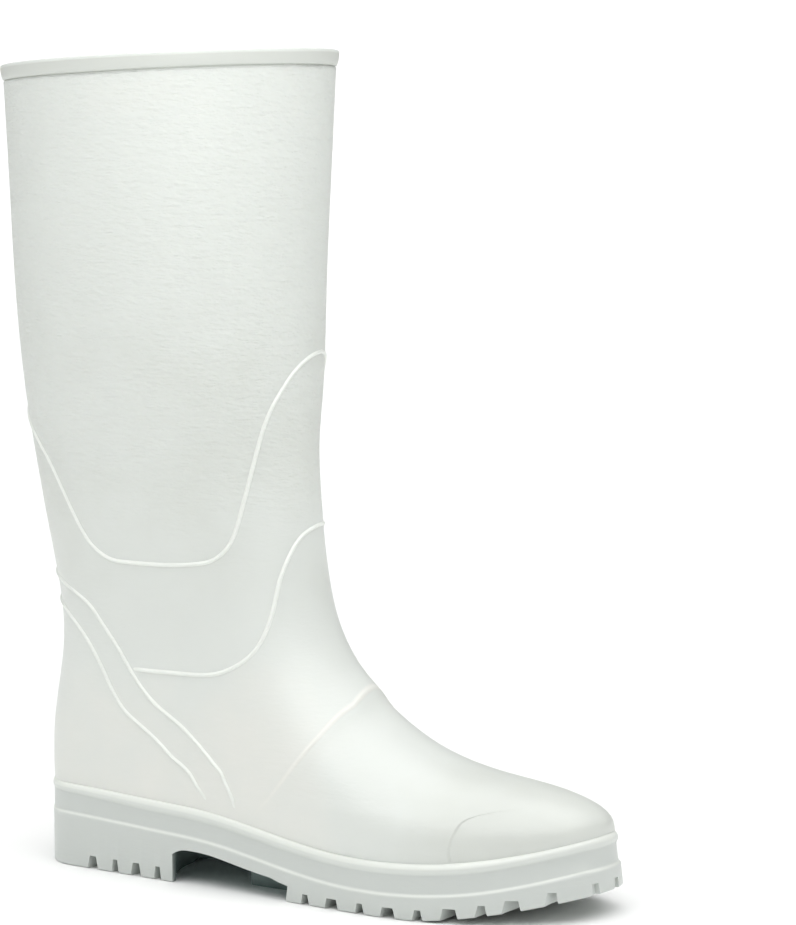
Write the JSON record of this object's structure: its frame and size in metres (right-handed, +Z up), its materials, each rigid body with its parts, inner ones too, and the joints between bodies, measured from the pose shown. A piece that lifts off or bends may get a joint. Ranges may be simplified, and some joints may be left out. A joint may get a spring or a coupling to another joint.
{
  "type": "pvc knee boot",
  "caption": "Knee-high white PVC boot: moulded upper with a banded collar and raised lines, on a thick cleated sole with a block heel.",
  "frame": {"origin": "on the ground under the heel, in the middle of the flat pad at the back of the heel", "axes": "+X to the toe, +Y to the boot's left (the inner side of this right boot), +Z up the leg"},
  "size_m": [0.3143, 0.1362, 0.37],
  "materials": {
    "pvc_upper": "soft satin white PVC with a fine grain",
    "pvc_sole": "satin off-white PVC",
    "insole": "matt needle felt"
  },
  "bodies": {
    "root": {"upper": "pvc_upper", "outsole": "pvc_sole", "insole": "insole"}
  },
  "joints": []
}
